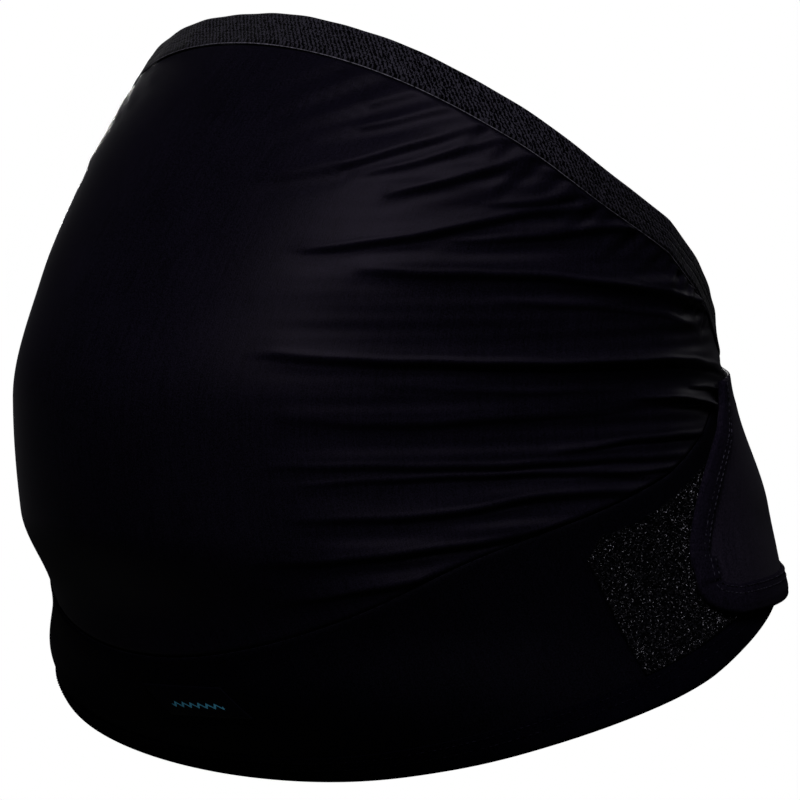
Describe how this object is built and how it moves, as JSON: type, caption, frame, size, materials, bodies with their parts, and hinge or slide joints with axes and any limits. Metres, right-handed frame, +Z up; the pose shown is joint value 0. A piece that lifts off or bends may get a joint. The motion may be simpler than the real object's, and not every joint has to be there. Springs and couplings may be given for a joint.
{
  "type": "maternity support belt",
  "caption": "Pull-on cloth support belt for the belly: domed stretch panel, under-belly band and a back band that closes on each hip.",
  "frame": {"origin": "on the axis of the body that wears it, level with the lower edge of the belt at the hips", "axes": "+Z up along the body, -Y the way the wearer faces, +X the wearer's left"},
  "size_m": [0.3848, 0.3408, 0.3319],
  "materials": {
    "stretch_cloth": "fine smooth knit",
    "elastic": "woven twill with fine ribs",
    "band_cloth": "brushed",
    "binding": "folded tape with two rows of stitches",
    "loop": "loose glossy loops",
    "hook": "hooks",
    "label": "fine satin weave"
  },
  "bodies": {
    "root": {"belly_panel": "stretch_cloth", "top_elastic": "elastic", "front_band": "band_cloth", "front_hem_binding": "binding", "loop_patch_left": "loop", "loop_patch_right": "loop", "label": "label", "back_band": "band_cloth", "tab_binding_left": "binding", "tab_binding_right": "binding", "back_hem_binding": "binding", "hook_pad_left": "hook", "hook_pad_right": "hook"}
  },
  "joints": []
}
